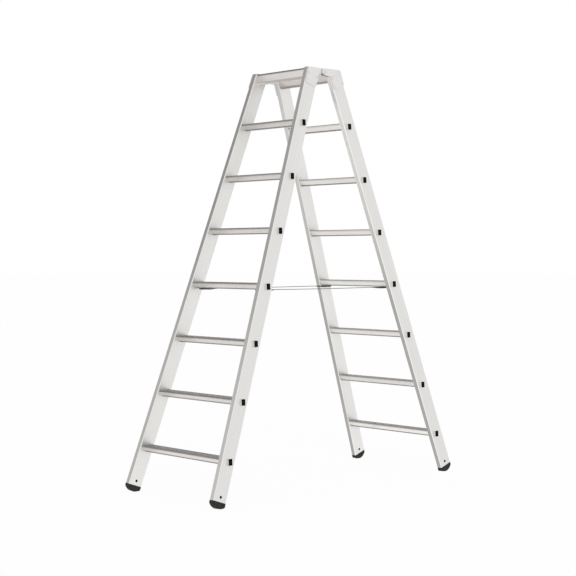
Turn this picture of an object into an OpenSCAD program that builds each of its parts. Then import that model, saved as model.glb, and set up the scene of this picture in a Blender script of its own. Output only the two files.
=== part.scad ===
// Double-sided trestle ladder with stepped treads on both frames, shown standing open.
// X runs across the ladder, Y from the front frame to the rear frame, Z up from the floor.

/* [Stance] */
// Lean of each frame from the vertical, in degrees
lean = 19.5; // [14:0.5:24]
// Splay of each stile within its frame, in degrees
splay = 3.4; // [0:0.1:5]
// Top of the lowest tread above the floor
first_tread_h = 196.8; // [170:0.1:260]
// Rise from one tread to the next
tread_rise = 235; // [200:1:280]
// Rise from the seventh tread to the top tread
top_rise = 229.7; // [200:0.1:280]
// Width across the outer faces of the stiles at the hinge
hinge_w = 355; // [300:1:450]
// Depth of the hinge pin below the stile caps
hinge_drop = 17.5; // [16:0.5:24]

/* [Stiles] */
// Depth of the stile tube, from climbing edge to inner edge
stile_depth = 70; // [60:1:80]
// Thickness of the stile tube
stile_t = 25; // [20:1:35]
// Wall of the stile tube
stile_wall = 2; // [1.5:0.1:3]
// Outer corner radius of the stile tube
stile_r = 4.5; // [3:0.1:7]
// Distance from the hinge pin to the middle of the stile tube
stile_setback = 64; // [60:1:80]
// Thickness of a stile cap above the stile
cap_t = 2; // [1:0.5:4]
// Depth of a stile cap's plug
cap_plug = 6; // [4:1:9]

/* [Treads] */
// Depth of a tread
tread_depth = 64; // [56:1:72]
// Depth of a top tread
top_depth = 70; // [60:1:74]
// Nosing of a top tread in front of its tube's middle
top_nose = 26; // [20:1:32]
// Middle of a tread's tube below the tread's top
tube_drop = 14.8; // [14.6:0.1:20]
// Middle of a top tread's tube below the tread's top
top_tube_drop = 32; // [26:0.5:36]
// Depth of the rear top tread's tube below the front one's
rear_top_sink = 6; // [0:0.5:8]
// Shift of the tube from the stile's middle towards the inside
tube_shift = 7; // [0:0.5:10]
// Width of the tube
tube_w = 18; // [14:1:24]
// Height of the tube
tube_h = 27; // [22:1:29]
// Wall of the tube
tube_wall = 2; // [1.5:0.1:3]
// Thickness of the tread's top skin
skin_t = 2.6; // [2:0.1:4]
// Thickness of the tread's sloping sides
web_t = 2; // [1.5:0.1:3]
// Height of the rounded nosing
nosing_h = 4.5; // [4:0.1:6]
// Height above the tube's underside where a tread's sides meet it
web_foot = 3.5; // [3:0.5:9]
// Height above the tube's underside where a top tread's sides meet it
top_web_foot = 9; // [8:0.5:18]
// Pitch of the anti-slip ribs
rib_pitch = 5; // [4:0.5:8]
// Width of an anti-slip rib
rib_w = 2.4; // [1.5:0.1:3]
// Height of an anti-slip rib
rib_h = 1; // [0.5:0.1:1.5]
// Gap between the anti-slip ribs and the stiles
rib_gap = 1.5; // [1:0.5:4]
// Width that the tube is flared by, outside the stile
flare_w = 1; // [0.5:0.1:2]
// Length of the flared tube end outside the stile
flare_t = 4.6; // [2:0.1:6]

/* [Tread plugs] */
// Width of a plug's head
plug_w = 17.2; // [15:0.1:19]
// Height of a plug's head
plug_h = 26; // [23:0.1:28]
// Height of a plug's head above the tube's end
plug_proud = 3.4; // [0.8:0.1:5]
// Height of the raised middle of a plug's head
plug_crown = 0.5; // [0.2:0.1:0.7]
// Step from the head's rim to its raised middle
plug_step = 1; // [0.5:0.1:2]
// Corner radius of a plug's head
plug_r = 2; // [1:0.1:3]
// Depth of a plug's shank in the tube
plug_depth = 18; // [8:1:26]

/* [Feet] */
// Lip of a foot around the stile
foot_lip = 0.8; // [0.4:0.1:3]
// Radius of the curve under a foot
sole_r = 45; // [40:1:60]
// Depth of a foot below the stile's end
sole_depth = 27; // [22:0.5:32]
// Shift of the curve's lowest point from the stile's middle towards the inside
sole_shift = 3; // [0:0.5:6]
// Depth of the flat sole cut from a foot's curve
foot_flat = 1.2; // [1:0.1:3]
// Height of a foot's plug inside the stile
foot_plug = 36; // [28:1:60]
// Height of the foot rivet above the stile's end
foot_rivet_h = 20; // [12:0.5:24]

/* [Hinges] */
// Thickness of a hinge plate on its stile
plate_t = 4; // [3:0.1:6]
// Thickness of a hinge plate's eye
eye_t = 4; // [3:0.1:6]
// Gap between hinge plate edge and stile edge
plate_inset = 1; // [0.5:0.1:3]
// Length of a hinge plate below the pin, along the stile
plate_len = 86; // [80:1:92]
// Corner radius of a hinge plate
plate_r = 9; // [5:0.5:14]
// Radius of the pin
pin_r = 5; // [4:0.1:6]
// Radius of the pin's heads
pin_head_r = 9; // [7:0.1:11]
// Height of the pin's heads
pin_head_h = 2.8; // [2:0.1:4]
// Thickness of the washer between the eyes
washer_t = 1; // [0.5:0.1:2]
// Radius of the washer
washer_r = 12; // [10:0.5:14]
// Thickness of the bush inside the front eye
bush_t = 6; // [5:0.5:12]
// Radius of the bush
bush_r = 14.5; // [13:0.5:17]
// Radius of the curve under the rear plate's arm
arm_r = 80; // [70:1:110]
// Middle of that curve behind the pin
arm_y = 24; // [18:1:30]
// Depth of that curve below the pin
arm_drop = 16; // [14:0.5:20]
// Thickness of the rear plate's arm beside the stile
arm_t = 13; // [10:0.5:16]
// Radius of the front plate's eye
front_eye_r = 12.5; // [11:0.5:15]
// Radius of the curve under the front plate's arm
gusset_r = 24; // [18:1:26]
// Middle of that curve in front of the pin
gusset_y = 17; // [14:1:22]
// Middle of that curve below the pin
gusset_z = 30.5; // [28:0.5:36]

/* [Rivets] */
// Radius of a hinge rivet's shank
rivet_r = 2.4; // [2:0.1:3]
// Radius of a hinge rivet's head
rivet_head_r = 5; // [4:0.1:6]
// Height of a hinge rivet's head
rivet_head_h = 2; // [1.5:0.1:3]
// Length of a rivet's set end behind the wall
rivet_tail = 3; // [2:0.5:5]
// Distance of a rivet from the plate's edge
rivet_inset = 10; // [8:0.5:13]
// Distance of the lower rivets from the plate's end
rivet_rise = 14; // [10:0.5:18]
// Distance between the two rows of hinge rivets
rivet_rows = 32; // [28:1:36]
// Radius of a foot rivet's shank
foot_rivet_r = 2.6; // [2:0.1:3.5]
// Radius of a foot rivet's head
foot_rivet_head_r = 6.1; // [3.5:0.1:7]
// Height of a foot rivet's head
foot_rivet_head_h = 1.6; // [1:0.1:2.5]

/* [Straps] */
// Width of a strap
strap_w = 25; // [20:1:30]
// Thickness of a strap
strap_t = 2; // [1.5:0.1:3]
// Gap between a strap and the stile
strap_gap = 15; // [8:1:40]
// Length of a strap's doubled end
strap_double = 85; // [60:1:110]
// Length of a strap behind its rivets
strap_tail = 12; // [9:0.5:20]
// Thickness of the clamp plate under a strap's end
clamp_t = 2; // [1.5:0.1:3]
// Depth of the clamp plate
clamp_d = 16; // [12:0.5:18]
// Corner radius of the clamp plate
clamp_r = 3; // [1:0.5:5]
// Distance from a strap rivet to the clamp plate's end
clamp_end = 6; // [4.5:0.5:8]
// Distance between a strap's two rivets
strap_rivet_pitch = 13; // [11:0.5:15]
// Radius of a strap rivet's shank
strap_rivet_r = 2; // [1.5:0.1:2.5]
// Radius of a strap rivet's head
strap_rivet_head_r = 4; // [3:0.1:5]
// Height of a strap rivet's head
strap_rivet_head_h = 1.6; // [1:0.1:2.5]

/* [Hidden] */
$fn = 48;
// Clearance of fixed pieces in their holes and tubes
fit_gap = 0.15;
// Running clearance of the hinge pins
run_gap = 0.05;
// Running clearance between the washer and the rear eye
face_gap = 0.1;
// Room around the front eye inside the rear arm
eye_gap = 1.5;
// Overrun of cuts
over = 1;
// Radius of a rivet's set end by its shank
set_share = 1.3;
// Level thickness of a tread's sloping side by its wall
run_share = 1.5;

treads = 7;
strap_tread = 4;
sides = ["near", "far"];
frames = ["front", "rear"];

top_h = first_tread_h + (treads - 1)*tread_rise + top_rise;
pivot_z = top_h + cap_t - hinge_drop;
// A length that passes every edge of the ladder
reach = 2*top_h;

// Number of a frame's top tread: one past the last in front, two past it behind
function top_of(f) = f == "front" ? treads + 1 : treads + 2;
// Height of the top of tread i
function tread_top(i) = i > treads ? top_h : first_tread_h + (i - 1)*tread_rise;
// How much lower than the front one the tube of top tread i is
function sink_of(i) = i > treads + 1 ? rear_top_sink : 0;
function drop_of(i) = i > treads ? top_tube_drop + sink_of(i) : tube_drop;
function tube_z(i) = tread_top(i) - drop_of(i);
// Place of the front stiles' middle line at height z
function stile_y(z) = -stile_setback/cos(lean) - (pivot_z - z)*tan(lean);
function tube_y(i) = stile_y(tube_z(i)) + tube_shift;

foot_w = stile_t + 2*foot_lip;
// Height of the sole curve's middle above the stile's end
sole_rise = sole_r - sole_depth;
// Length of a stile from the hinge level down to its end, with the cut sole on the floor
sole_drop = pivot_z - (sole_r - foot_flat) + (stile_setback - sole_shift)*sin(lean);
stile_end = sole_drop/cos(lean)/cos(splay) - stile_t/2*tan(splay) + sole_rise;

inner_r = max(stile_r - stile_wall, stile_wall/2);
eye_r = hinge_drop;
front_eye_x = hinge_w/2;
washer_x = front_eye_x + eye_t;
rear_eye_x = washer_x + washer_t + face_gap;
rear_eye_end = rear_eye_x + eye_t;

strap_z = tube_z(strap_tread) - tube_h/2;
strap_half = -tube_y(strap_tread) + strap_tail;
strap_x = hinge_w/2 + (pivot_z - strap_z)*tan(splay)/cos(lean) - stile_t/cos(splay) - strap_gap - strap_w/2;

// Placement helpers

// The front frame is drawn as it stands, the rear frame is its mirror image
module on_frame(f) {
    mirror([0, f == "rear" ? 1 : 0, 0])
        children();
}

// The near side is at +X, the far side is its mirror image
module on_side(s) {
    mirror([s == "far" ? 1 : 0, 0, 0])
        children();
}

// Frame plane of the front frame: X across, Y square to the frame, Z up the frame, from the hinge pin
module in_plane() {
    translate([0, 0, pivot_z])
        rotate([-lean, 0, 0])
            children();
}

// Near stile: X out of its outer face, Y towards the inside, Z up the stile
module in_stile() {
    in_plane()
        translate([hinge_w/2, 0, 0])
            rotate([0, -splay, 0])
                children();
}

// Outline in the Y and Z directions, carried from x0 to x1
module across(x0, x1) {
    translate([x0, 0, 0])
        rotate([90, 0, 90])
            linear_extrude(x1 - x0)
                children();
}

// Everything on the inner side of a plane that lies x beyond the near stile's outer face
module inside_of(x) {
    in_stile()
        translate([x - reach, -reach, -reach])
            cube([reach, 2*reach, 2*reach]);
}

module between_faces(x) {
    intersection() {
        inside_of(x);
        on_side("far")
            inside_of(x);
    }
}

// Level slab between two heights
module level(z0, z1) {
    translate([-reach, -reach, z0])
        cube([2*reach, 2*reach, z1 - z0]);
}

module rounded(w, h, r) {
    square([w - 2*r, h], center = true);
    square([w, h - 2*r], center = true);
    for (x = [-1, 1], y = [-1, 1])
        translate([x*(w/2 - r), y*(h/2 - r)])
            circle(r);
}

// Low dome of radius r and height h, standing on the XY plane
module dome(r, h) {
    ball = (r*r + h*h)/(2*h);
    intersection() {
        translate([0, 0, h - ball])
            sphere(ball);
        cylinder(r = r, h = h);
    }
}

// Stiles

module stile_outline() {
    rounded(stile_t, stile_depth, stile_r);
}

module stile_hollow(gap = 0) {
    rounded(stile_t - 2*stile_wall - 2*gap, stile_depth - 2*stile_wall - 2*gap, inner_r);
}

// A bar along the near stile with the given section, from z0 to z1 along it
module along_stile(z0, z1) {
    in_stile()
        translate([-stile_t/2, -stile_setback, z0])
            linear_extrude(z1 - z0)
                children();
}

module tube_hole(i) {
    translate([0, tube_y(i), tube_z(i)])
        across(0, reach)
            square([tube_w + 2*fit_gap, tube_h + 2*fit_gap], center = true);
}

module near_stile(f) {
    difference() {
        intersection() {
            along_stile(-stile_end, hinge_w)
                stile_outline();
            level(-reach, top_h);
        }
        along_stile(-stile_end - over, hinge_w)
            stile_hollow();
        for (i = [1:treads])
            tube_hole(i);
        tube_hole(top_of(f));
        hinge_rivet_places()
            cylinder(r = rivet_r + fit_gap, h = 2*stile_wall, center = true);
        foot_rivet_place()
            cylinder(r = foot_rivet_r + fit_gap, h = 4*stile_t, center = true);
    }
}

module stile(f, s) {
    color("gainsboro")
        on_frame(f)
            on_side(s)
                near_stile(f);
}

module stile_caps(f) {
    color("dimgray")
        on_frame(f)
            for (s = sides)
                on_side(s) {
                    intersection() {
                        along_stile(-stile_end, hinge_w)
                            stile_outline();
                        level(top_h, top_h + cap_t);
                    }
                    intersection() {
                        along_stile(-stile_end, hinge_w)
                            stile_hollow(fit_gap);
                        level(top_h - cap_plug, top_h + cap_t/2);
                    }
                }
}

// Treads

// Section of the ribs on a tread's top, which they raise to height b, from nose to tail
module rib_section(nose, tail, b) {
    ribs = floor((tail - nose - nosing_h)/rib_pitch);
    first = (nose + tail)/2 - (ribs - 1)*rib_pitch/2;
    for (k = [0:ribs - 1])
        translate([first + k*rib_pitch - rib_w/2, b - 2*rib_h])
            square([rib_w, 2*rib_h]);
}

// Section of a tread around its tube: top below the ribs at height b, from nose to tail, sides meeting the tube at foot
module tread_section(nose, tail, b, foot) {
    r = nosing_h/2;
    plain = b - rib_h;
    run = run_share*web_t;
    foot_b = foot - tube_h/2;
    difference() {
        union() {
            polygon([
                [nose, plain - r],
                [nose + r/2, plain - nosing_h],
                [-tube_w/2, foot_b],
                [-tube_w/2, -tube_h/2],
                [tube_w/2, -tube_h/2],
                [tube_w/2, foot_b],
                [tail - r/2, plain - nosing_h],
                [tail, plain - r],
                [tail - r, plain],
                [nose + r, plain]]);
            for (a = [nose + r, tail - r])
                translate([a, plain - r])
                    circle(r);
        }
        polygon([
            [nose + r + run, plain - skin_t],
            [-tube_w/2, plain - skin_t],
            [-tube_w/2, foot_b + run]]);
        polygon([
            [tail - r - run, plain - skin_t],
            [tube_w/2, plain - skin_t],
            [tube_w/2, foot_b + run]]);
        tube_bore();
        if (b - tube_h/2 > 2*skin_t)
            polygon([
                [-tube_w/2 + tube_wall, tube_h/2],
                [tube_w/2 - tube_wall, tube_h/2],
                [tube_w/2 - tube_wall, plain - skin_t],
                [-tube_w/2 + tube_wall, plain - skin_t]]);
    }
}

module tube_bore() {
    square([tube_w - 2*tube_wall, tube_h - 2*tube_wall], center = true);
}

module tube_ring() {
    difference() {
        square([tube_w, tube_h], center = true);
        tube_bore();
    }
}

module flare_ring() {
    difference() {
        rounded(tube_w + 2*flare_w, tube_h + 2*flare_w, flare_w);
        tube_bore();
    }
}

// Tread i of the front frame, with its tube ends through the stiles
module front_tread(i) {
    last = i > treads;
    nose = last ? sink_of(i)*tan(lean) - top_nose : -tread_depth/2;
    tail = last ? nose + top_depth : tread_depth/2;
    intersection() {
        translate([0, tube_y(i), tube_z(i)])
            across(-reach/2, reach/2)
                tread_section(nose, tail, drop_of(i), last ? top_web_foot : web_foot);
        between_faces(-stile_t);
    }
    intersection() {
        translate([0, tube_y(i), tube_z(i)])
            across(-reach/2, reach/2)
                rib_section(nose, tail, drop_of(i));
        between_faces(-stile_t - rib_gap);
    }
    intersection() {
        translate([0, tube_y(i), tube_z(i)])
            across(-reach/2, reach/2)
                tube_ring();
        between_faces(last ? -fit_gap : flare_t);
    }
    if (!last)
        intersection() {
            translate([0, tube_y(i), tube_z(i)])
                across(-reach/2, reach/2)
                    flare_ring();
            difference() {
                between_faces(flare_t);
                between_faces(0);
            }
        }
}

// Clear holes for the strap rivets in the tube's underside
module strap_rivet_holes() {
    for (s = sides)
        on_side(s)
            strap_rivet_places()
                cylinder(r = strap_rivet_r + fit_gap, h = 4*tube_wall, center = true);
}

module tread(f, i) {
    color("silver")
        on_frame(f)
            difference() {
                front_tread(i);
                if (i == strap_tread)
                    strap_rivet_holes();
            }
}

// End plugs of the treads

module plug(i) {
    difference() {
        translate([0, tube_y(i), tube_z(i)])
            across(0, reach)
                rounded(plug_w, plug_h, plug_r);
        inside_of(flare_t);
        difference() {
            inside_of(reach);
            inside_of(flare_t + plug_proud - plug_crown);
        }
    }
    difference() {
        translate([0, tube_y(i), tube_z(i)])
            across(0, reach)
                rounded(plug_w - 2*plug_step, plug_h - 2*plug_step, plug_r);
        inside_of(flare_t);
        difference() {
            inside_of(reach);
            inside_of(flare_t + plug_proud);
        }
    }
    difference() {
        translate([0, tube_y(i), tube_z(i)])
            across(0, reach)
                square([tube_w - 2*tube_wall - 2*fit_gap, tube_h - 2*tube_wall - 2*fit_gap], center = true);
        inside_of(flare_t - plug_depth);
        difference() {
            inside_of(reach);
            inside_of(flare_t + plug_proud/2);
        }
    }
}

module tread_plugs(f, s) {
    color("black")
        on_frame(f)
            on_side(s)
                for (i = [1:treads])
                    plug(i);
}

// Feet

// Side view of a foot below the stile's end: a shallow curve
module foot_side() {
    intersection() {
        translate([sole_shift, sole_rise])
            circle(sole_r, $fn = 128);
        translate([-stile_depth, -stile_depth])
            square([2*stile_depth, stile_depth]);
    }
}

module foot(f, s) {
    color("black")
        on_frame(f)
            on_side(s)
                difference() {
                    union() {
                        intersection() {
                            in_stile()
                                translate([-stile_t/2, -stile_setback, -stile_end])
                                    across(-foot_w, foot_w)
                                        foot_side();
                            along_stile(-stile_end - 2*sole_depth, -stile_end + sole_depth)
                                rounded(foot_w, stile_depth + 2*foot_lip, stile_r + foot_lip);
                        }
                        along_stile(-stile_end - over, -stile_end + foot_plug)
                            stile_hollow(fit_gap);
                    }
                    level(-reach, 0);
                    foot_rivet_place()
                        cylinder(r = foot_rivet_r + fit_gap, h = 4*stile_t, center = true);
                }
}

// Middle of the near stile at the foot rivet, Z across the stile
module foot_rivet_place() {
    in_stile()
        translate([-stile_t/2, -stile_setback, -stile_end + foot_rivet_h])
            rotate([0, 90, 0])
                children();
}

module foot_rivets(f) {
    color("black")
        on_frame(f)
            for (s = sides)
                on_side(s)
                    foot_rivet_place() {
                        cylinder(r = foot_rivet_r, h = stile_t, center = true);
                        for (k = [0, 1])
                            mirror([0, 0, k])
                                translate([0, 0, stile_t/2])
                                    dome(foot_rivet_head_r, foot_rivet_head_h);
                    }
}

// Hinges

plate_y0 = -stile_setback - stile_depth/2 + plate_inset;
plate_y1 = -stile_setback + stile_depth/2 - plate_inset;

// Points of the near stile's outer face where the hinge rivets sit, Z out of the face
module hinge_rivet_places() {
    for (y = [plate_y0 + rivet_inset, plate_y1 - rivet_inset])
        for (k = [0, 1])
            in_stile()
                translate([0, y, -plate_len + rivet_rise + k*rivet_rows])
                    rotate([0, 90, 0])
                        children();
}

// The part of a hinge plate that lies on the near front stile
module plate_base() {
    intersection() {
        in_stile()
            translate([0, (plate_y0 + plate_y1)/2, 0])
                rotate([90, 0, 90])
                    linear_extrude(plate_t)
                        rounded(plate_y1 - plate_y0, 2*plate_len, plate_r);
        level(-reach, top_h + cap_t);
    }
}

// Outlines around the hinge pin, drawn in the Y and Z directions
module at_pin() {
    translate([0, 0, pivot_z])
        children();
}

module front_arm_outline() {
    difference() {
        translate([-stile_setback, -gusset_z])
            square([stile_setback, gusset_z + eye_r]);
        translate([-gusset_y, -gusset_z])
            circle(gusset_r);
        translate([-gusset_y, -gusset_z])
            square([stile_setback, gusset_r]);
    }
    circle(front_eye_r);
}

module rear_arm_outline() {
    intersection() {
        translate([arm_y, arm_r - arm_drop])
            circle(arm_r, $fn = 128);
        translate([-reach, -reach])
            square([2*reach, reach + hinge_drop]);
        union() {
            circle(eye_r);
            translate([0, -reach])
                square([reach, 2*reach]);
        }
    }
}

// The space that the near front stile takes up, filled
module stile_space() {
    along_stile(-stile_end, hinge_w)
        square([stile_t, stile_depth], center = true);
}

module plate_holes() {
    at_pin()
        across(0, reach)
            circle(pin_r + run_gap);
    hinge_rivet_places()
        cylinder(r = rivet_r + fit_gap, h = 4*plate_t, center = true);
}

module front_hinge_plate(s) {
    color("whitesmoke")
        on_side(s)
            difference() {
                union() {
                    plate_base();
                    difference() {
                        at_pin()
                            across(front_eye_x, front_eye_x + eye_t)
                                front_arm_outline();
                        stile_space();
                    }
                }
                plate_holes();
            }
}

module rear_hinge_plate(s) {
    color("whitesmoke")
        on_side(s)
            difference() {
                union() {
                    on_frame("rear")
                        plate_base();
                    difference() {
                        at_pin()
                            across(rear_eye_end - arm_t, rear_eye_end)
                                rear_arm_outline();
                        on_frame("rear")
                            stile_space();
                        at_pin()
                            across(0, rear_eye_x)
                                circle(eye_r + eye_gap);
                        at_pin()
                            across(0, rear_eye_x)
                                translate([-reach, -reach])
                                    square([reach + eye_r/2, reach]);
                    }
                }
                on_frame("rear")
                    plate_holes();
            }
}

module hinge_plate(f, s) {
    if (f == "front")
        front_hinge_plate(s);
    else
        rear_hinge_plate(s);
}

module hinge_rivets(f) {
    color("lightgray")
        on_frame(f)
            for (s = sides)
                on_side(s)
                    hinge_rivet_places() {
                        translate([0, 0, plate_t])
                            dome(rivet_head_r, rivet_head_h);
                        translate([0, 0, -stile_wall - rivet_tail])
                            cylinder(r = rivet_r, h = stile_wall + rivet_tail + plate_t);
                        translate([0, 0, -stile_wall - rivet_tail])
                            cylinder(r = set_share*rivet_r, h = rivet_tail);
                    }
}

module hinge_pin(s) {
    color("silver")
        on_side(s)
            at_pin()
                rotate([0, 90, 0]) {
                    translate([0, 0, front_eye_x - bush_t - pin_head_h])
                        cylinder(r = pin_head_r, h = pin_head_h);
                    translate([0, 0, front_eye_x - bush_t - pin_head_h])
                        cylinder(r = pin_r, h = rear_eye_end - front_eye_x + bush_t + face_gap + pin_head_h);
                    translate([0, 0, rear_eye_end + face_gap])
                        dome(pin_head_r, pin_head_h);
                }
}

module pin_ring(r, from, to) {
    across(from, to)
        difference() {
            circle(r);
            circle(pin_r + run_gap);
        }
}

// Washers between the eyes, and the bushes between the front eyes and the pins' inner heads
module hinge_washers() {
    color("dimgray")
        for (s = sides)
            on_side(s)
                at_pin() {
                    pin_ring(washer_r, washer_x, washer_x + washer_t);
                    pin_ring(bush_r, front_eye_x - bush_t, front_eye_x);
                }
}

// Straps

// Rivet points on the underside of the front strap tread's tube, near side
module strap_rivet_places() {
    for (k = [-1, 1])
        translate([strap_x + k*strap_rivet_pitch/2, tube_y(strap_tread), strap_z])
            children();
}

module spread_strap(s) {
    color("dimgray")
        on_side(s)
            difference() {
                union() {
                    translate([strap_x - strap_w/2, -strap_half, strap_z - strap_t])
                        cube([strap_w, 2*strap_half, strap_t]);
                    for (f = frames)
                        on_frame(f)
                            translate([strap_x - strap_w/2, -strap_half, strap_z - 2*strap_t])
                                cube([strap_w, strap_double, 1.5*strap_t]);
                }
                for (f = frames)
                    on_frame(f)
                        strap_rivet_places()
                            cylinder(r = strap_rivet_r + fit_gap, h = 6*strap_t, center = true);
            }
}

module strap_clamps(f) {
    color("black")
        on_frame(f)
            for (s = sides)
                on_side(s)
                    difference() {
                        translate([strap_x, tube_y(strap_tread), strap_z - 2*strap_t - clamp_t])
                            linear_extrude(clamp_t)
                                rounded(strap_rivet_pitch + 2*clamp_end, clamp_d, clamp_r);
                        strap_rivet_places()
                            cylinder(r = strap_rivet_r + fit_gap, h = 6*(strap_t + clamp_t), center = true);
                    }
}

module strap_rivets(f) {
    under = 2*strap_t + clamp_t;
    color("lightgray")
        on_frame(f)
            for (s = sides)
                on_side(s)
                    strap_rivet_places() {
                        translate([0, 0, -under])
                            mirror([0, 0, 1])
                                dome(strap_rivet_head_r, strap_rivet_head_h);
                        translate([0, 0, -under])
                            cylinder(r = strap_rivet_r, h = under + tube_wall + rivet_tail);
                        translate([0, 0, tube_wall])
                            cylinder(r = set_share*strap_rivet_r, h = rivet_tail);
                    }
}

// Drawing, one node at a time or all together

for (f = frames, s = sides)
    stile(f, s);
for (f = frames, i = [1:treads])
    tread(f, i);
for (f = frames)
    tread(f, top_of(f));
for (f = frames, s = sides)
    tread_plugs(f, s);
for (f = frames, s = sides)
    foot(f, s);
for (f = frames)
    foot_rivets(f);
for (f = frames)
    stile_caps(f);
for (f = frames, s = sides)
    hinge_plate(f, s);
for (f = frames)
    hinge_rivets(f);
for (s = sides)
    hinge_pin(s);
hinge_washers();
for (s = sides)
    spread_strap(s);
for (f = frames)
    strap_clamps(f);
for (f = frames)
    strap_rivets(f);
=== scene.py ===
import math

import bpy
import numpy as np
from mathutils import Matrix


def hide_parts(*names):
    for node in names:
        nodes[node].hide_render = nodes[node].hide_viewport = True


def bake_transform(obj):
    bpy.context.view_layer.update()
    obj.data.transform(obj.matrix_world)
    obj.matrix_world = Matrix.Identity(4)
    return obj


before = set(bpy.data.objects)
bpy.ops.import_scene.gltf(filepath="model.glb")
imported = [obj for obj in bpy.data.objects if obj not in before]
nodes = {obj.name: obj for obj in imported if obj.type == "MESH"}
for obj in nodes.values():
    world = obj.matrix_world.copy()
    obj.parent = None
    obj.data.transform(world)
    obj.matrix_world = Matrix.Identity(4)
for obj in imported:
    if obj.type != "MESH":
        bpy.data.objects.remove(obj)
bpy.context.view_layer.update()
scene = bpy.context.scene
ends = ("front", "rear")
sides = ("near", "far")
lean, splay = math.radians(19.5), math.radians(3.4)  # of the stiles, from upright
print("frame loaded:", len(nodes), "nodes")

cameraView = {
    "place": (4.3848, -4.2093, 1.0147),
    "turn": 46.502,  # degrees round Z from looking along +Y
    "pitch": 1.356,  # degrees below the horizon
    "lens": 84.294,
    "sensor": 36.0,
    "clipEnd": 200.0,
}


def placeCamera(v):
    data = bpy.data.cameras.new("photoCamera")
    data.lens = v["lens"]
    data.sensor_width = v["sensor"]
    data.clip_end = v["clipEnd"]
    camera = bpy.data.objects.new("photoCamera", data)
    camera.location = v["place"]
    camera.rotation_euler = (math.radians(90 - v["pitch"]), 0, math.radians(v["turn"]))
    scene.collection.objects.link(camera)
    scene.camera = camera


placeCamera(cameraView)
scene.view_settings.view_transform = "Standard"
print("camera placed")


# node helpers

asFloat, asVector = "NodeSocketFloat", "NodeSocketVector"


def addNode(tree, kind, **sockets):
    node = tree.nodes.new(kind)
    for name, value in sockets.items():
        node.inputs[name].default_value = value
    return node


def mathNode(tree, operation, a, b=None, clamp=False):
    node = tree.nodes.new("ShaderNodeMath")
    node.operation = operation
    node.use_clamp = clamp
    for socket, value in zip(node.inputs, (a, b)):
        if value is None:
            continue
        if isinstance(value, (int, float)):
            socket.default_value = value
        else:
            tree.links.new(value, socket)
    return node.outputs[0]


def times(tree, a, b, clamp=False):
    return mathNode(tree, "MULTIPLY", a, b, clamp)


# a value between the span's two ends, taken to the result's two ends and held there beyond them
def rangeNode(tree, value, span, result=(0.0, 1.0)):
    node = tree.nodes.new("ShaderNodeMapRange")
    for name, number in zip(("From Min", "From Max", "To Min", "To Max"), (*span, *result)):
        node.inputs[name].default_value = number
    tree.links.new(value, node.inputs["Value"])
    return node.outputs["Result"]


def mixColour(tree, factor, first, second):
    node = tree.nodes.new("ShaderNodeMix")
    node.data_type = "RGBA"
    for name, value in (("Factor_Float", factor), ("A_Color", first), ("B_Color", second)):
        socket = next(s for s in node.inputs if s.identifier == name)
        if isinstance(value, bpy.types.NodeSocket):
            tree.links.new(value, socket)
        else:
            socket.default_value = (*value, 1)
    return next(s for s in node.outputs if s.identifier == "Result_Color")


def splitVector(tree, vector):
    node = tree.nodes.new("ShaderNodeSeparateXYZ")
    tree.links.new(vector, node.inputs[0])
    return node.outputs


def dotNode(tree, first, second):
    node = tree.nodes.new("ShaderNodeVectorMath")
    node.operation = "DOT_PRODUCT"
    tree.links.new(first, node.inputs[0])
    tree.links.new(second, node.inputs[1])
    return node.outputs["Value"]


def faceNormal(tree):
    return tree.nodes.new("ShaderNodeNewGeometry").outputs["Normal"]


# noise in waves per metre along the three axes
def stretchedNoise(tree, vector, n):
    scale = tree.nodes.new("ShaderNodeVectorMath")
    scale.operation = "MULTIPLY"
    scale.inputs[1].default_value = n["waves"]
    tree.links.new(vector, scale.inputs[0])
    noise = addNode(tree, "ShaderNodeTexNoise", Scale=1.0, Detail=n["detail"], Roughness=n["rough"])
    tree.links.new(scale.outputs[0], noise.inputs["Vector"])
    return noise.outputs["Fac"]


def newGroup(name, ins, outs):
    group = bpy.data.node_groups.new(name, "ShaderNodeTree")
    for way, sockets in (("INPUT", ins), ("OUTPUT", outs)):
        for socketName, kind in sockets.items():
            group.interface.new_socket(socketName, in_out=way, socket_type=kind)
    return group, group.nodes.new("NodeGroupInput"), group.nodes.new("NodeGroupOutput")


# shared effects, each a group with its settings above it


# gives each noise of its settings
def noiseGroup(name, settings):
    group, source, sink = newGroup(name, {"Vector": asVector}, dict.fromkeys(settings, asFloat))
    for noiseName, noise in settings.items():
        group.links.new(stretchedNoise(group, source.outputs["Vector"], noise), sink.inputs[noiseName])
    return group


dieMarks = {  # fine lines, broad streaks and slow clouds of a drawn profile whose length is the vector's Z
    "Line": {"waves": (1400, 1400, 9), "detail": 3.0, "rough": 0.5},
    "Streak": {"waves": (130, 130, 0.8), "detail": 2.0, "rough": 0.5},
    "Cloud": {"waves": (9, 9, 4), "detail": 4.0, "rough": 0.6},
}
skinNoise = {  # moulded skin: fine grain over slow unevenness
    "Grain": {"waves": (1500, 1500, 1500), "detail": 2.0, "rough": 0.6},
    "Uneven": {"waves": (60, 60, 60), "detail": 4.0, "rough": 0.6},
}
handling = {
    "lengthScratch": {"waves": (60, 900, 260), "detail": 1.0, "rough": 0.5}, "lengthSpan": (0.66, 0.72),
    "crossScratch": {"waves": (700, 80, 380), "detail": 1.0, "rough": 0.5}, "crossSpan": (0.67, 0.73),
    "patch": {"waves": (14, 14, 7), "detail": 3.0, "rough": 0.5}, "patchSpan": (0.48, 0.68),
}


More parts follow.
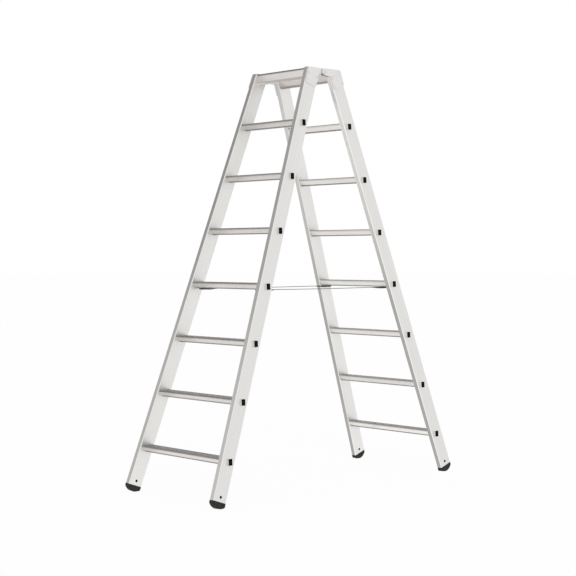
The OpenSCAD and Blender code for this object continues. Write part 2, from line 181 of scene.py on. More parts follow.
# short scratches and rub marks from handling, more of them where the slow noise is high
def handlingMarksGroup(h):
    group, source, sink = newGroup(
        "handlingMarks", {"Vector": asVector, "Amount": asFloat}, {"Marks": asFloat, "Rub": asFloat})
    vector, amount = source.outputs["Vector"], source.outputs["Amount"]
    first = rangeNode(group, stretchedNoise(group, vector, h["lengthScratch"]), h["lengthSpan"])
    second = rangeNode(group, stretchedNoise(group, vector, h["crossScratch"]), h["crossSpan"])
    patch = rangeNode(group, stretchedNoise(group, vector, h["patch"]), h["patchSpan"])
    both = mathNode(group, "MAXIMUM", first, second)
    group.links.new(times(group, times(group, both, patch), amount, True), sink.inputs["Marks"])
    group.links.new(times(group, patch, amount, True), sink.inputs["Rub"])
    return group


edgeSoftening = {"samples": 6, "maskSpan": (0.995, 0.85)}  # span of the cosine of the two normals


# rounds the normal over sharp edges and gives a mask of those edges
def softEdgesGroup(e):
    group, source, sink = newGroup("softEdges", {"Radius": asFloat}, {"Normal": asVector, "Edge": asFloat})
    bevel = group.nodes.new("ShaderNodeBevel")
    bevel.samples = e["samples"]
    group.links.new(source.outputs["Radius"], bevel.inputs["Radius"])
    rounded = bevel.outputs["Normal"]
    group.links.new(rounded, sink.inputs["Normal"])
    likeness = dotNode(group, rounded, faceNormal(group))
    group.links.new(rangeNode(group, likeness, e["maskSpan"]), sink.inputs["Edge"])
    return group


dustFall = {
    "high": 0.25,  # share left above the reach
    "tiltSpan": (-0.2, 0.9), "tiltShare": (0.35, 1.0),  # from faces that look aside to faces that look up
    "speck": {"waves": (90, 90, 90), "detail": 5.0, "rough": 0.65}, "speckSpan": (0.42, 0.68),
}


# dust that settles on faces that look up, thicker close to the floor
def siteDustGroup(d):
    group, source, sink = newGroup(
        "siteDust", {"Vector": asVector, "Amount": asFloat, "Reach": asFloat}, {"Dust": asFloat})
    vector = source.outputs["Vector"]
    share = mathNode(group, "DIVIDE", splitVector(group, vector)["Z"], source.outputs["Reach"])
    low = rangeNode(group, share, (0.0, 1.0), (1.0, d["high"]))
    upward = rangeNode(group, splitVector(group, faceNormal(group))["Z"], d["tiltSpan"], d["tiltShare"])
    speck = rangeNode(group, stretchedNoise(group, vector, d["speck"]), d["speckSpan"])
    dust = times(group, times(group, low, upward), speck)
    group.links.new(times(group, dust, source.outputs["Amount"], True), sink.inputs["Dust"])
    return group


# spans of the cosine between a face and the axis, either way
faceTurn = {"along": (0.80, 0.96), "leaving": (0.12, 0.35), "arriving": (0.75, 0.92)}


# share of a face that looks along an axis, and of the rounded corners between such faces and the others
def facingGroup(f):
    group, source, sink = newGroup("facing", {"Axis": asVector}, {"Along": asFloat, "Corner": asFloat})
    cosine = mathNode(group, "ABSOLUTE", dotNode(group, faceNormal(group), source.outputs["Axis"]))
    group.links.new(rangeNode(group, cosine, f["along"]), sink.inputs["Along"])
    leaving = rangeNode(group, cosine, f["leaving"])
    arriving = rangeNode(group, cosine, f["arriving"], (1.0, 0.0))
    group.links.new(times(group, leaving, arriving), sink.inputs["Corner"])
    return group


drawnLines = noiseGroup("drawnLines", dieMarks)
mouldedSkin = noiseGroup("mouldedSkin", skinNoise)
handlingMarks = handlingMarksGroup(handling)
softEdges = softEdgesGroup(edgeSoftening)
siteDust = siteDustGroup(dustFall)
facing = facingGroup(faceTurn)
print("shader groups made")


def placeGroup(tree, group, vector=None, **values):
    node = tree.nodes.new("ShaderNodeGroup")
    node.node_tree = group
    if vector is not None:
        tree.links.new(vector, node.inputs["Vector"])
    for name, value in values.items():
        node.inputs[name].default_value = value
    return node.outputs


def newMaterial(name):
    material = bpy.data.materials.new(name)
    material.use_nodes = True
    tree = material.node_tree
    return material, tree, tree.nodes["Principled BSDF"]


def objectCoords(tree, turn=(0, 0, 0)):
    coords = tree.nodes.new("ShaderNodeTexCoord")
    mapping = tree.nodes.new("ShaderNodeMapping")
    mapping.inputs["Rotation"].default_value = turn
    tree.links.new(coords.outputs["Object"], mapping.inputs["Vector"])
    return coords.outputs["Object"], mapping.outputs["Vector"]


def bumpNode(tree, height, strength, distance, normal=None):
    bump = addNode(tree, "ShaderNodeBump", Strength=strength, Distance=distance)
    tree.links.new(height, bump.inputs["Height"])
    if normal is not None:
        tree.links.new(normal, bump.inputs["Normal"])
    return bump.outputs["Normal"]


# 1 where a point is nearer the ladder's middle than the reach, which draws in with height as the stiles do
def withinReach(tree, vector, reach):
    place = splitVector(tree, vector)
    out = mathNode(tree, "ABSOLUTE", place["X"])
    drawn = times(tree, place["Z"], math.tan(splay)/math.cos(lean))
    return mathNode(tree, "LESS_THAN", mathNode(tree, "ADD", out, drawn), reach)


millimetre = 0.001
shadeBandLift = 0.0005  # the count starts this far above a tread, so that its top face counts as its own


# painted shade by the distance below a tread's top, alike on every tread, on the ribs and nosing and on
# the tube below: stops are (millimetres below, share)
def shadeBandMask(tree, vector, s):
    below = mathNode(tree, "SUBTRACT", s["top"] + shadeBandLift, splitVector(tree, vector)["Z"])
    share = mathNode(tree, "FRACT", mathNode(tree, "DIVIDE", below, s["rise"]))
    ramp = tree.nodes.new("ShaderNodeValToRGB")
    tree.links.new(share, ramp.inputs["Fac"])
    stops = ramp.color_ramp.elements
    for place, amount in s["shadeBands"][1:-1]:
        stops.new(place*millimetre/s["rise"]).color = (amount, amount, amount, 1)
    for stop, (_, amount) in ((stops[0], s["shadeBands"][0]), (stops[-1], s["shadeBands"][-1])):
        stop.color = (amount, amount, amount, 1)
    return times(tree, ramp.outputs["Color"], withinReach(tree, vector, s["shadeBandReach"]))


extruded = {
    "streakSpan": (0.3, 0.7), "cloudSpan": (0.35, 0.7), "shadeBandBreaks": (0.85, 1.0),
    "paintedSideSpan": (0.8, 1.6),  # heights between which the narrow faces' painted shade changes from low to high colour
    "scratch": 0.5, "scratchDepth": -0.6, "lineDepth": 0.0002,
    "roughSpan": (0.25, 0.75), "smoother": 0.05, "rougher": 0.06, "rubRough": 0.08,
    "dustRough": 0.3, "dustMetal": 0.2, "dustReach": 0.5,
}


# a tread's painted shade, a little broken by the streaks
def treadShade(tree, plain, lines, base, s):
    breaks = rangeNode(tree, lines["Streak"], extruded["streakSpan"], extruded["shadeBandBreaks"])
    return mixColour(tree, times(tree, shadeBandMask(tree, plain, s), breaks), base, s["shadeBandColour"])


# painted shade on a stile's narrow faces, changing with height, and painted highlight on its round corners
def paintedStileShade(tree, plain, base, s):
    rise = rangeNode(tree, splitVector(tree, plain)["Z"], extruded["paintedSideSpan"])
    side = mixColour(tree, rise, s["paintedSideLow"], s["paintedSideHigh"])
    turned = placeGroup(tree, facing, Axis=s["sideAxis"])
    faced = mixColour(tree, turned["Along"], base, side)
    return mixColour(tree, times(tree, turned["Corner"], s["cornerHighlightShare"]), faced, s["cornerHighlightColour"])


# aluminium that was pushed through a die: streaks along its length, rubbed brighter on edges
def extrudedFinish(name, s):
    e = extruded
    material, tree, shader = newMaterial(name)
    plain, along = objectCoords(tree, s["turn"])
    lines = placeGroup(tree, drawnLines, along)
    marks = placeGroup(tree, handlingMarks, along, Amount=s["marks"])
    edges = placeGroup(tree, softEdges, Radius=s["edge"])
    dust = placeGroup(tree, siteDust, plain, Amount=s["dust"], Reach=e["dustReach"])["Dust"]
    streaked = mixColour(tree, rangeNode(tree, lines["Streak"], e["streakSpan"]), s["dark"], s["light"])
    cloud = rangeNode(tree, lines["Cloud"], e["cloudSpan"], (0.0, s["cloud"]))
    clouded = mixColour(tree, cloud, streaked, s["tarnish"])
    if "shadeBands" in s:
        shaded = treadShade(tree, plain, lines, clouded, s)
    else:
        shaded = paintedStileShade(tree, plain, clouded, s)
    rubbed = mixColour(tree, times(tree, edges["Edge"], s["edgeWearAndShade"]), shaded, s["bright"])
    scratched = mixColour(tree, times(tree, marks["Marks"], e["scratch"]), rubbed, s["bright"])
    tree.links.new(mixColour(tree, dust, scratched, s["dustColour"]), shader.inputs["Base Color"])
    skin = (s["rough"] - e["smoother"], s["rough"] + e["rougher"])
    rough = rangeNode(tree, lines["Streak"], e["roughSpan"], skin)
    rough = mathNode(tree, "ADD", rough, times(tree, marks["Rub"], e["rubRough"]))
    rough = mathNode(tree, "ADD", rough, times(tree, dust, e["dustRough"]), True)
    tree.links.new(rough, shader.inputs["Roughness"])
    metal = rangeNode(tree, dust, (0.0, 1.0), (s["metal"], e["dustMetal"]))
    tree.links.new(metal, shader.inputs["Metallic"])
    height = mathNode(tree, "ADD", lines["Line"], times(tree, marks["Marks"], e["scratchDepth"]))
    normal = bumpNode(tree, height, s["relief"], e["lineDepth"], edges["Normal"])
    tree.links.new(normal, shader.inputs["Normal"])
    return material


worked = {
    "colourSpan": (0.3, 0.7), "scratch": 0.5,
    "roughSpan": (0.25, 0.75), "roughSwing": 0.06, "rubRough": 0.08,
    "underTilt": (-0.35, -0.6), "underFade": 0.006, "underShare": 0.9,
    "unevenDepth": 0.8, "grainDepth": 0.0002,
}


# painted colour on faces that look down, above a height: painted shade under the rear arms, painted
# highlight on the plates' lower edges
def paintedUnderside(tree, plain, base, s):
    tilt = rangeNode(tree, splitVector(tree, faceNormal(tree))["Z"], worked["underTilt"])
    rise = (s["underFrom"], s["underFrom"] + worked["underFade"])
    above = rangeNode(tree, splitVector(tree, plain)["Z"], rise, (0.0, worked["underShare"]))
    return mixColour(tree, times(tree, tilt, above), base, s["paintedUndersideColour"])


# cast, pressed or turned metal: no length direction, a fine skin and rubbed edges
def workedFinish(name, s):
    w = worked
    material, tree, shader = newMaterial(name)
    plain, _ = objectCoords(tree)
    skin = placeGroup(tree, mouldedSkin, plain)
    marks = placeGroup(tree, handlingMarks, plain, Amount=s["marks"])
    edges = placeGroup(tree, softEdges, Radius=s["edge"])
    base = mixColour(tree, rangeNode(tree, skin["Uneven"], w["colourSpan"]), s["dark"], s["light"])
    rubbed = mixColour(tree, times(tree, edges["Edge"], s["edgeWearAndShade"]), base, s["bright"])
    shaded = mixColour(tree, times(tree, marks["Marks"], w["scratch"]), rubbed, s["bright"])
    if "paintedUndersideColour" in s:
        shaded = paintedUnderside(tree, plain, shaded, s)
    tree.links.new(shaded, shader.inputs["Base Color"])
    swing = (s["rough"] - w["roughSwing"], s["rough"] + w["roughSwing"])
    rough = rangeNode(tree, skin["Uneven"], w["roughSpan"], swing)
    rough = mathNode(tree, "ADD", rough, times(tree, marks["Rub"], w["rubRough"]), True)
    tree.links.new(rough, shader.inputs["Roughness"])
    shader.inputs["Metallic"].default_value = s["metal"]
    shader.inputs["Specular IOR Level"].default_value = s["gloss"]
    height = mathNode(tree, "ADD", skin["Grain"], times(tree, skin["Uneven"], w["unevenDepth"]))
    normal = bumpNode(tree, height, s["relief"], w["grainDepth"], edges["Normal"])
    tree.links.new(normal, shader.inputs["Normal"])
    return material


moulded = {
    "colourSpan": (0.3, 0.7), "scuff": 0.4,
    "roughSpan": (0.25, 0.75), "roughSwing": 0.07, "dustRough": 0.25,
    "unevenDepth": 0.6, "grainDepth": 0.0003,
}


# moulded plastic or rubber: grain, worn edges (painted shade on the feet's rims), site dust
def mouldedFinish(name, s):
    m = moulded
    material, tree, shader = newMaterial(name)
    plain, _ = objectCoords(tree)
    skin = placeGroup(tree, mouldedSkin, plain)
    marks = placeGroup(tree, handlingMarks, plain, Amount=s["marks"])
    edges = placeGroup(tree, softEdges, Radius=s["edge"])
    dust = placeGroup(tree, siteDust, plain, Amount=s["dust"], Reach=s["dustReach"])["Dust"]
    base = mixColour(tree, rangeNode(tree, skin["Uneven"], m["colourSpan"]), s["dark"], s["light"])
    wornAndShaded = mixColour(tree, times(tree, edges["Edge"], s["edgeWearAndShade"]), base, s["wornAndShaded"])
    scuffed = mixColour(tree, times(tree, marks["Marks"], m["scuff"]), wornAndShaded, s["wornAndShaded"])
    tree.links.new(mixColour(tree, dust, scuffed, s["dustColour"]), shader.inputs["Base Color"])
    swing = (s["rough"] - m["roughSwing"], s["rough"] + m["roughSwing"])
    rough = rangeNode(tree, skin["Uneven"], m["roughSpan"], swing)
    rough = mathNode(tree, "ADD", rough, times(tree, dust, m["dustRough"]), True)
    tree.links.new(rough, shader.inputs["Roughness"])
    shader.inputs["Specular IOR Level"].default_value = s["gloss"]
    height = mathNode(tree, "ADD", skin["Grain"], times(tree, skin["Uneven"], m["unevenDepth"]))
    normal = bumpNode(tree, height, s["relief"], m["grainDepth"], edges["Normal"])
    tree.links.new(normal, shader.inputs["Normal"])
    return material


def dress(material, *names):
    for name in names:
        nodes[name].data.materials.clear()
        nodes[name].data.materials.append(material)


def onEnds(piece):
    return [f"{end}_{piece}" for end in ends]


def onSides(piece):
    return [f"{piece}_{side}" for side in sides]


def onCorners(piece):
    return [f"{end}_{piece}_{side}" for end in ends for side in sides]


stileFinish = {
    "dark": (0.765, 0.757, 0.74), "light": (0.80, 0.793, 0.777), "bright": (0.87, 0.865, 0.855),
    "tarnish": (0.72, 0.71, 0.69), "cloud": 0.25, "dustColour": (0.66, 0.64, 0.60),
    "rough": 0.34, "metal": 0.8, "relief": 0.12, "edge": 0.0012, "edgeWearAndShade": 0.35,
    "marks": 0.4, "dust": 0.06,
    # painted highlight on the stiles' round corners, stronger on the rear stiles
    "cornerHighlightColour": (1.0, 0.99, 0.975), "cornerHighlightShare": 0.2,
}
paintedStileFaces = {  # painted shade: narrow faces are darker than broad ones, on the rear stiles more so close to the floor; painted light on the rear near stile's narrow faces high up and on the far stiles' broad faces
    "front_near": {"paintedSideLow": (0.68, 0.66, 0.64), "paintedSideHigh": (0.68, 0.66, 0.64)},
    "front_far": {"paintedSideLow": (0.58, 0.563, 0.545), "paintedSideHigh": (0.56, 0.543, 0.526),
                  "dark": (0.815, 0.804, 0.785), "light": (0.85, 0.84, 0.822)},
    "rear_near": {"paintedSideLow": (0.44, 0.427, 0.413), "paintedSideHigh": (0.92, 0.90, 0.875), "cornerHighlightShare": 0.9},
    "rear_far": {"paintedSideLow": (0.43, 0.417, 0.403), "paintedSideHigh": (0.72, 0.70, 0.68), "cornerHighlightShare": 0.9,
                 "dark": (0.83, 0.822, 0.805), "light": (0.865, 0.857, 0.84)},
}


# turns the drawn lines onto each stile: back through its lean, then through its splay
for end, leanSign in (("front", 1), ("rear", -1)):
    for side, splaySign in (("near", 1), ("far", -1)):
        stileSettings = {
            **stileFinish, **paintedStileFaces[f"{end}_{side}"],
            "turn": (leanSign*lean, splaySign*splay, 0),
            "sideAxis": (0, -math.cos(lean), leanSign*math.sin(lean)),
        }
        dress(extrudedFinish(f"stileAluminium_{end}_{side}", stileSettings), f"{end}_stile_{side}")
print("stiles finished")

treadFinish = {
    "dark": (0.80, 0.768, 0.738), "light": (0.835, 0.803, 0.773), "bright": (0.86, 0.85, 0.84),
    "tarnish": (0.68, 0.66, 0.635), "cloud": 0.3, "dustColour": (0.64, 0.61, 0.57),
    "rough": 0.30, "metal": 0.75, "relief": 0.14, "edge": 0.0006, "edgeWearAndShade": 0.2,
    "marks": 0.5, "dust": 0.08,
    "shadeBandColour": (0.11, 0.095, 0.088), "top": 0.1968, "rise": 0.235,
    # painted shade on the ribs and nosing, then on the tube below
    "shadeBands": [(0, 0.85), (5, 0.8), (10.5, 0.0), (24, 0.0), (24.8, 0.75), (235, 0.75)],
    "shadeBandReach": 0.28,  # short of the flared tube ends outside the stiles
    "turn": (0, math.radians(90), 0),
}
# painted light: the rear treads are lighter copies of the front treads' finish, the four lowest lighter
# still
rearLitTreadFinish = {
    **treadFinish, "dark": (0.895, 0.865, 0.835), "light": (0.925, 0.897, 0.868),
    "shadeBands": [(0, 0.85), (2, 0.75), (5, 0.35), (12, 0.0), (24, 0.0), (24.8, 0.85), (235, 0.85)],
}
rearLowLitTreadFinish = {**rearLitTreadFinish, "dark": (0.972, 0.947, 0.918), "light": (0.995, 0.973, 0.947)}
topTreadFinish = {
    **treadFinish, "dark": (0.80, 0.765, 0.74), "light": (0.835, 0.80, 0.775), "top": 1.8365,
    "shadeBands": [(0, 0.9), (6, 0.9), (10, 0.0), (33.5, 0.0), (34.5, 0.45), (36.5, 0.45), (37.5, 0.0),
             (235, 0.0)],
}
# painted shade: the rear top tread is a darker, redder copy of the top tread's finish
rearTopShadedTreadFinish = {
    **topTreadFinish, "dark": (0.71, 0.645, 0.62), "light": (0.74, 0.675, 0.65),
    "shadeBands": [(0, 0.9), (6, 0.9), (10, 0.0), (47, 0.0), (49, 0.5), (235, 0.5)],
}
treadSets = (  # label, finish, end and the treads counted from the floor
    ("front", treadFinish, "front", range(1, 8)),
    ("rearLow", rearLowLitTreadFinish, "rear", range(1, 5)),
    ("rearHigh", rearLitTreadFinish, "rear", range(5, 8)),
)

for label, finish, end, places in treadSets:
    dress(extrudedFinish(f"treadAluminium_{label}", finish), *[f"{end}_tread_{i}" for i in places])
for end, finish in (("front", topTreadFinish), ("rear", rearTopShadedTreadFinish)):
    dress(extrudedFinish(f"topTreadAluminium_{end}", finish), f"{end}_top_tread")
print("treads finished")

hingeFinish = {
    "dark": (0.77, 0.762, 0.747), "light": (0.815, 0.807, 0.793), "bright": (0.88, 0.875, 0.865),
    "rough": 0.44, "metal": 0.8, "gloss": 0.5, "relief": 0.22, "edge": 0.0024, "edgeWearAndShade": 0.5,
    "marks": 0.5,
}
plateFinish = {  # painted highlight on the lower edges
    **hingeFinish, "paintedUndersideColour": (0.98, 0.97, 0.955), "underFrom": 0.0,
}
armFinish = {  # painted shade under the rear arms
    **hingeFinish, "paintedUndersideColour": (0.02, 0.018, 0.017), "underFrom": 1.785,
}
rivetFinish = {
    **hingeFinish, "dark": (0.66, 0.655, 0.645), "light": (0.76, 0.755, 0.745),
    "rough": 0.34, "relief": 0.10, "edge": 0.0009,
}
pinFinish = {
    **hingeFinish, "dark": (0.66, 0.655, 0.64), "light": (0.74, 0.735, 0.72),
    "rough": 0.30, "metal": 1.0, "relief": 0.10, "edge": 0.0009,
}
blackSteelFinish = {
    "dark": (0.003, 0.003, 0.003), "light": (0.006, 0.006, 0.006), "bright": (0.03, 0.03, 0.029),
    "rough": 0.62, "metal": 0.0, "gloss": 0.08, "relief": 0.18, "edge": 0.0004, "edgeWearAndShade": 0.10,
    "marks": 0.3,
}

dress(workedFinish("hingeAluminium", plateFinish), *onSides("front_hinge_plate"))
dress(workedFinish("armAluminium", armFinish), *onSides("rear_hinge_plate"))
dress(workedFinish("rivetAluminium", rivetFinish), *onEnds("hinge_rivets"), *onEnds("strap_rivets"))
dress(workedFinish("pinSteel", pinFinish), *onSides("hinge_pin"))
dress(workedFinish("blackSteel", blackSteelFinish), *onEnds("foot_rivets"), *onEnds("strap_clamps"))
print("hinges and fasteners finished")

plugFinish = {
    "dark": (0.004, 0.0037, 0.0037), "light": (0.008, 0.0074, 0.0074), "wornAndShaded": (0.04, 0.038, 0.036),
    "dustColour": (0.33, 0.31, 0.28), "rough": 0.7, "gloss": 0.04, "relief": 0.25, "edge": 0.0006,
    "edgeWearAndShade": 0.15, "marks": 0.3, "dust": 0.03, "dustReach": 0.4,
}
capFinish = {
    **plugFinish, "dark": (0.08, 0.08, 0.08), "light": (0.13, 0.13, 0.128), "wornAndShaded": (0.25, 0.25, 0.245),
}
# dark bush between the hinge arms, made dark to stand in for the shadow gap there: painted shade
shadowGapBushFinish = {
    **plugFinish, "dark": (0.22, 0.21, 0.20), "light": (0.27, 0.26, 0.25), "wornAndShaded": (0.32, 0.31, 0.30),
}
footFinish = {
    **plugFinish, "dark": (0.018, 0.018, 0.019), "light": (0.032, 0.032, 0.033),
    "wornAndShaded": (0.002, 0.002, 0.002),  # painted shade on the rims
    "rough": 0.66, "gloss": 0.16, "relief": 0.4, "edge": 0.0040, "edgeWearAndShade": 0.95, "marks": 0.6,
    "dust": 0.15, "dustReach": 0.06,
}

dress(mouldedFinish("blackPlastic", plugFinish), *onCorners("tread_plugs"))
dress(mouldedFinish("shadowGapBushPlastic", shadowGapBushFinish), "hinge_washers")
dress(mouldedFinish("greyPlastic", capFinish), *onEnds("stile_caps"))
dress(mouldedFinish("blackRubber", footFinish), *onCorners("foot"))
print("plugs, caps and feet finished")

strap = {
    "across": 0.1847,       # middle of each strap from the ladder's middle
    "reach": 0.4036,        # folded ends, in front and behind
    "top": 0.8735,
    "width": 0.025,
    "thick": 0.002,
    "doubled": 0.085,       # length folded back underneath
    "hem": 2.4,             # thickness of the folded stretch where its own end is turned in, in tapes
    "hemReach": 0.378, "hemRise": 0.008, "hemTaper": 0.040,
    "sag": 0.0015,
    "squareness": 9.0,      # power of the section's rounded rectangle
    "selvage": 0.10,        # how much thicker the woven edges are
    "selvageFrom": 0.78, "selvageRise": 0.16,  # shares of the half width
    "stepsLong": 260, "stepsRound": 40, "stepsFold": 14, "stepsBack": 36,
    "blend": 0.40,          # a reach, in metres
}


# tapes of thickness at a distance from the ladder's middle: 1 in the clamps, up to the whole hem beside
# them and down to 1 again at the sewn-down end, both eased by share squared times (3 - 2 share)
def hemThickness(s, y):
    outer = (s["hemReach"] - np.abs(y))/s["hemRise"]
    inner = (np.abs(y) - s["reach"] + s["doubled"])/s["hemTaper"]
    share = np.clip(np.minimum(outer, inner), 0, 1)
    return 1 + (s["hem"] - 1)*share**2*(3 - 2*share)


# drop of the long stretch: sag times (1 - share squared) squared, by the share of the way to its ends
def strapSag(s, y, length):
    return s["sag"]*(1 - (y/length)**2)**2


# middle line of the folded webbing as (y, z) and its thickness in tapes: back under the front end,
# round the fold, over to the rear fold and back
def strapLine(s):
    half = s["thick"]/2
    high, low, turn = s["top"] - half, s["top"] - 3*half, s["reach"] - 2*half
    back = np.linspace(-s["reach"] + s["doubled"], -turn, s["stepsBack"])
    across = np.linspace(-turn, turn, s["stepsLong"])
    angle = np.linspace(-np.pi/2, -1.5*np.pi, s["stepsFold"])[1:-1]
    foldY, foldZ = half*np.cos(angle), (high + low)/2 + half*np.sin(angle)
    hem = hemThickness(s, back)
    under = low - half*(hem - 1)
    y = np.concatenate([back, -turn + foldY, across, turn - foldY[::-1], -back[::-1]])
    z = np.concatenate([under, foldZ, high - strapSag(s, across, turn), foldZ[::-1], under[::-1]])
    tapes = np.concatenate([hem, np.ones(2*angle.size + across.size), hem[::-1]])
    return y, z, tapes


# section of power n: x = a |cos|^(2/n), h = b |sin|^(2/n) with their signs, thicker towards both edges
def tapeSection(s):
    angle = np.arange(s["stepsRound"])*2*np.pi/s["stepsRound"]
    power = 2/s["squareness"]
    halfWidth = s["width"]/2
    x = halfWidth*np.sign(np.cos(angle))*np.abs(np.cos(angle))**power
    h = s["thick"]/2*np.sign(np.sin(angle))*np.abs(np.sin(angle))**power
    edge = np.clip((np.abs(x)/halfWidth - s["selvageFrom"])/s["selvageRise"], 0, 1)
    return x, h*(1 - s["selvage"] + s["selvage"]*edge)


# faces of a tube of rings: corner (i, j) joins (i, j + 1), (i + 1, j + 1) and (i + 1, j); j runs round
def ringQuads(steps, ring):
    row, col = np.meshgrid(np.arange(steps - 1), np.arange(ring), indexing="ij")
    after = (col + 1) % ring
    quads = [row*ring + col, row*ring + after, (row + 1)*ring + after, (row + 1)*ring + col]
    return np.stack(quads, -1).reshape(-1, 4)


# surface of a section carried along a line in the YZ plane: point = line + h * normal, x across
def sweptTape(s, centre):
    y, z, tapes = strapLine(s)
    dy, dz = np.gradient(y), np.gradient(z)
    size = np.hypot(dy, dz)
    dy, dz = dy/size, dz/size
    x, h = tapeSection(s)
    h = h*tapes[:, None]
    points = np.stack([
        np.broadcast_to(centre + x, h.shape),
        y[:, None] - h*dz[:, None],
        z[:, None] + h*dy[:, None]], -1).reshape(-1, 3)
    along = np.concatenate([[0], np.cumsum(np.hypot(np.diff(y), np.diff(z)))])
    return points, along, x.size


# the swept tape with both ends closed, and a map in metres along and metres across
def tapeMesh(name, s, centre):
    points, along, ring = sweptTape(s, centre)
    last = len(points) - ring
    caps = [list(range(ring))[::-1], list(range(last, last + ring))]
    mesh = bpy.data.meshes.new(name)
    mesh.from_pydata(points.tolist(), [], ringQuads(along.size, ring).tolist() + caps)
    corner = np.empty(len(mesh.loops), np.int32)
    mesh.loops.foreach_get("vertex_index", corner)
    uv = np.stack([along[corner // ring], points[corner, 0] - centre], -1)
    layer = mesh.uv_layers.new(name="tape")
    layer.data.foreach_set("uv", uv.astype(np.float32).ravel())
    mesh.shade_smooth()
    return mesh


stitch = {
    "length": 0.0030, "thick": 0.0007, "pitch": 0.0042,
    "inset": 0.0045,        # lengthways seams from the tape's edges
    "clear": 0.006,         # inner cross seam from the sewn-down end
    "endClear": 0.030,      # outer cross seam from the fold
    "poleGirth": 0.06,      # a bead's blunt ends, as a share of its girth
    "stepsLong": 7, "stepsRound": 6,
}


# one bead is a stretched ball: radius sin(t) round an axis, its poles drawn in; all beads in one array
def beadMesh(name, places, directions, k):
    t = np.linspace(0, np.pi, k["stepsLong"])
    a = np.arange(k["stepsRound"])*2*np.pi/k["stepsRound"]
    lengthways = np.repeat(-np.cos(t)*k["length"]/2, a.size)
    girth = np.repeat(np.maximum(np.sin(t), k["poleGirth"]), a.size)*k["thick"]/2
    aside = girth*np.tile(np.cos(a), t.size)
    rise = girth*np.tile(np.sin(a), t.size)
    third = np.stack([-directions[:, 1], directions[:, 0], np.zeros(len(directions))], -1)
    upright = np.stack([0*rise, 0*rise, rise], -1)[None]
    points = (places[:, None] + lengthways[:, None]*directions[:, None] + aside[:, None]*third[:, None]
              + upright).reshape(-1, 3)
    ring, each = a.size, a.size*t.size
    starts = np.arange(len(places))*each
    quads = (starts[:, None, None] + ringQuads(t.size, ring)[None]).reshape(-1, 4)
    first = (starts[:, None] + np.arange(ring)[::-1]).tolist()
    final = (starts[:, None] + each - ring + np.arange(ring)).tolist()
    mesh = bpy.data.meshes.new(name)
    mesh.from_pydata(points.tolist(), [], quads.tolist() + first + final)
    mesh.shade_smooth()
    return mesh


# two seams along the doubled stretch and two across it, on both faces of both ends
def seamBeads(s, k, centre):
    far = s["reach"] - k["endClear"]
    near = s["reach"] - s["doubled"] + k["clear"]
    halfWidth = s["width"]/2 - k["inset"]
    longY = np.arange(near, far, k["pitch"])
    crossX = np.arange(-halfWidth + k["pitch"]/2, halfWidth, k["pitch"])
    flat = np.concatenate(
        [np.stack([np.full(longY.size, edge), longY], -1) for edge in (-halfWidth, halfWidth)]
        + [np.stack([crossX, np.full(crossX.size, line)], -1) for line in (near, far)])
    way = np.concatenate([
        np.tile([0.0, 1.0, 0.0], (2*longY.size, 1)), np.tile([1.0, 0.0, 0.0], (2*crossX.size, 1))])
    hollow = s["selvage"]*s["thick"]/2  # the tape's middle lies this far below its edges
    upper = s["top"] - hollow - strapSag(s, flat[:, 1], s["reach"])
    lower = s["top"] - 2*s["thick"] + hollow - s["thick"]*(hemThickness(s, flat[:, 1]) - 1)
    levels = [(end, level) for end in (-1, 1) for level in (upper, lower)]
    places = np.concatenate([
        np.stack([centre + flat[:, 0], end*flat[:, 1], level], -1) for end, level in levels])
    return places, np.tile(way, (len(levels), 1))


webbing = {
    "dark": (0.012, 0.012, 0.012), "light": (0.032, 0.032, 0.032), "faded": (0.045, 0.044, 0.043),
    "dustColour": (0.30, 0.28, 0.25), "dust": 0.10, "dustReach": 2.0,
    "pitchLong": 0.0024, "pitchCross": 0.0030,
    "fadeSpan": (0.4, 0.75), "fadeShare": 0.5,
    "rough": (0.88, 0.66), "gloss": 0.3, "sheen": 0.15,
    "grain": 0.35, "relief": 0.55, "depth": 0.0004,
}


# woven tape on its own map: ribs along the length that pass over and under fine cross threads
def webbingFinish(name, s):
    material, tree, shader = newMaterial(name)
    uvMap = tree.nodes.new("ShaderNodeUVMap")
    uvMap.uv_map = "tape"
    place = splitVector(tree, uvMap.outputs["UV"])
    lengthWave = mathNode(tree, "SINE", times(tree, place["X"], 2*math.pi/s["pitchLong"]))
    crossWave = mathNode(tree, "SINE", times(tree, place["Y"], 2*math.pi/s["pitchCross"]))
    weave = rangeNode(tree, times(tree, lengthWave, crossWave), (-1.0, 1.0))
    plain, _ = objectCoords(tree)
    skin = placeGroup(tree, mouldedSkin, plain)
    dust = placeGroup(tree, siteDust, plain, Amount=s["dust"], Reach=s["dustReach"])["Dust"]
    threads = mixColour(tree, weave, s["dark"], s["light"])
    fading = rangeNode(tree, skin["Uneven"], s["fadeSpan"], (0.0, s["fadeShare"]))
    faded = mixColour(tree, fading, threads, s["faded"])
    tree.links.new(mixColour(tree, dust, faded, s["dustColour"]), shader.inputs["Base Color"])
    tree.links.new(rangeNode(tree, weave, (0.0, 1.0), s["rough"]), shader.inputs["Roughness"])
    shader.inputs["Specular IOR Level"].default_value = s["gloss"]
    shader.inputs["Sheen Weight"].default_value = s["sheen"]
    height = mathNode(tree, "ADD", weave, times(tree, skin["Grain"], s["grain"]))
    tree.links.new(bumpNode(tree, height, s["relief"], s["depth"]), shader.inputs["Normal"])
    return material


threadFinish = {
    **plugFinish, "dark": (0.10, 0.10, 0.10), "light": (0.16, 0.16, 0.158), "wornAndShaded": (0.22, 0.22, 0.21),
}
strapWebbing = webbingFinish("strapWebbing", webbing)
seamThread = mouldedFinish("seamThread", threadFinish)


def addPiece(name, mesh, material):
    piece = bpy.data.objects.new(name, mesh)
    mesh.materials.append(material)
    scene.collection.objects.link(piece)
    return piece


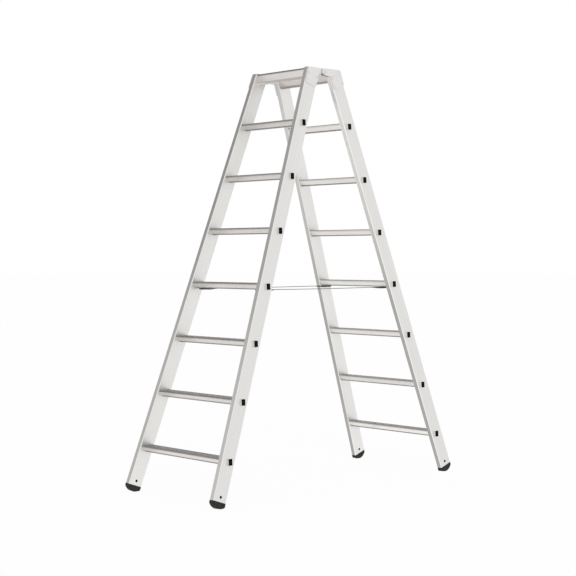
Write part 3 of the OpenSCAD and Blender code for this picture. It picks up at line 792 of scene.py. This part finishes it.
for side, sign in (("near", 1), ("far", -1)):
    centre = sign*strap["across"]
    tape = addPiece(f"strapTape_{side}", tapeMesh(f"strapTape_{side}", strap, centre), strapWebbing)
    beads = beadMesh(f"strapSeams_{side}", *seamBeads(strap, stitch, centre), stitch)
    seams = addPiece(f"strapSeams_{side}", beads, seamThread)
    for piece in (tape, seams):
        piece.visible_glossy = False  # no dark image of the straps in the satin treads
        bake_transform(piece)
    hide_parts(f"spread_strap_{side}")
print("straps made")

studio = {
    "floorColour": (0.985, 0.985, 0.985), "floorHalf": 60.0, "floorGlow": 0.94, "floorRough": 0.9,
    "fill": 0.72,           # how strongly the surroundings light matt faces
    "keyFrom": (5.0, -3.2, 3.4), "keyStrength": 0.8, "keyAngle": 35.0,
}
cardFoot = ((-0.2, -4.4), (-4.4, -0.3))  # where the grey cards begin and end, seen from above
cards = {  # tone, then lower and upper edge
    "sideCard": (0.34, 2.1, 6.0),
    "lowCard": (0.70, 0.5, 2.1),
}


# 1 for rays from the camera, reflections and what is seen through, 0 for all other light
def seenDirectly(tree):
    path = tree.nodes.new("ShaderNodeLightPath")
    seen = mathNode(tree, "MAXIMUM", path.outputs["Is Camera Ray"], path.outputs["Is Glossy Ray"])
    return mathNode(tree, "MAXIMUM", seen, path.outputs["Is Transmission Ray"])


# white where it is seen, the plain level where it lights
def makeWorld(s):
    world = bpy.data.worlds.new("studioWorld")
    world.use_nodes = True
    tree = world.node_tree
    background = tree.nodes["Background"]
    background.inputs["Color"].default_value = (1, 1, 1, 1)
    strength = rangeNode(tree, seenDirectly(tree), (0.0, 1.0), (s["fill"], 1.0))
    tree.links.new(strength, background.inputs["Strength"])
    scene.world = world


# flat sheet of four corners given in order
def sheetObject(name, corners, material):
    mesh = bpy.data.meshes.new(name)
    mesh.from_pydata(corners, [], [(0, 1, 2, 3)])
    mesh.materials.append(material)
    sheet = bpy.data.objects.new(name, mesh)
    scene.collection.objects.link(sheet)
    return sheet


def makeFloor(s):
    material, tree, shader = newMaterial("paleFloor")
    shader.inputs["Base Color"].default_value = (*s["floorColour"], 1)
    shader.inputs["Roughness"].default_value = s["floorRough"]
    shader.inputs["Specular IOR Level"].default_value = 0.0
    glow = addNode(tree, "ShaderNodeEmission", Strength=1.0)
    mix = tree.nodes.new("ShaderNodeMixShader")
    tree.links.new(times(tree, seenDirectly(tree), s["floorGlow"]), mix.inputs["Fac"])
    tree.links.new(shader.outputs[0], mix.inputs[1])
    tree.links.new(glow.outputs[0], mix.inputs[2])
    tree.links.new(mix.outputs[0], tree.nodes["Material Output"].inputs["Surface"])
    h = s["floorHalf"]
    sheetObject("paleFloor", [(-h, -h, 0), (h, -h, 0), (h, h, 0), (-h, h, 0)], material)


# grey card out of the picture that only reflections see, as the dark side of a studio
def makeCard(name, tone, low, high):
    material, tree, shader = newMaterial(name)
    glow = addNode(tree, "ShaderNodeEmission", Color=(tone, tone, tone, 1), Strength=1.0)
    tree.links.new(glow.outputs[0], tree.nodes["Material Output"].inputs["Surface"])
    tree.nodes.remove(shader)
    first, last = cardFoot
    card = sheetObject(name, [(*first, low), (*last, low), (*last, high), (*first, high)], material)
    card.visible_camera = card.visible_diffuse = card.visible_shadow = card.visible_transmission = False


def makeKey(s):
    data = bpy.data.lights.new("keyLight", "SUN")
    data.energy = s["keyStrength"]
    data.angle = math.radians(s["keyAngle"])
    lamp = bpy.data.objects.new("keyLight", data)
    x, y, z = s["keyFrom"]
    lamp.location = (x, y, z)
    lamp.rotation_euler = (math.atan2(math.hypot(x, y), z), 0, math.atan2(y, x) + math.pi/2)
    lamp.visible_glossy = False  # no hard streak along the stiles' corners
    scene.collection.objects.link(lamp)


makeWorld(studio)
makeFloor(studio)
for name, card in cards.items():
    makeCard(name, *card)
makeKey(studio)
print("studio lit")
